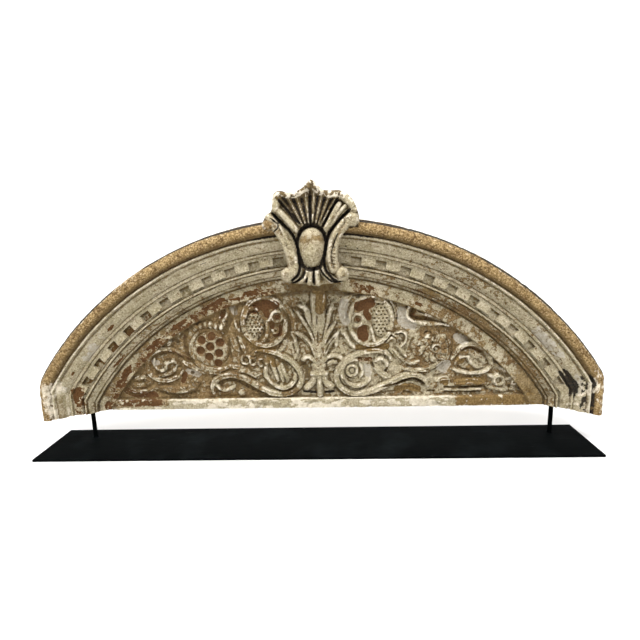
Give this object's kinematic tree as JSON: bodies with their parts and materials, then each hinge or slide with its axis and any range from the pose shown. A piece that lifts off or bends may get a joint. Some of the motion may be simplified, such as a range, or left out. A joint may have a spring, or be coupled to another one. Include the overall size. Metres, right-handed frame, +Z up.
{
  "type": "carved stone transom on stand",
  "caption": "Low arched carved stone overdoor with moulded, dentilled rim, scrollwork field and shell cartouche, held on thin rods above a long flat steel plate.",
  "frame": {"origin": "on the floor, in the middle of the whole piece; the base plate's own middle lies 7 mm to the left of it", "axes": "+Z up, +X along the plate to the viewer's right, the carved face looks along -Y"},
  "size_m": [1.514, 0.185, 0.708],
  "materials": {
    "stone": "weathered warm stone with worn grey-white limewash, bare brown patches in the hollows and black dirt in the deepest grooves",
    "black_steel": "smooth black paint, half matt, with faint rubbed streaks and a few fine scratches"
  },
  "bodies": {
    "root": {"transom": "stone", "base_plate": "black_steel", "rod_left": "black_steel", "rod_right": "black_steel"}
  },
  "joints": []
}
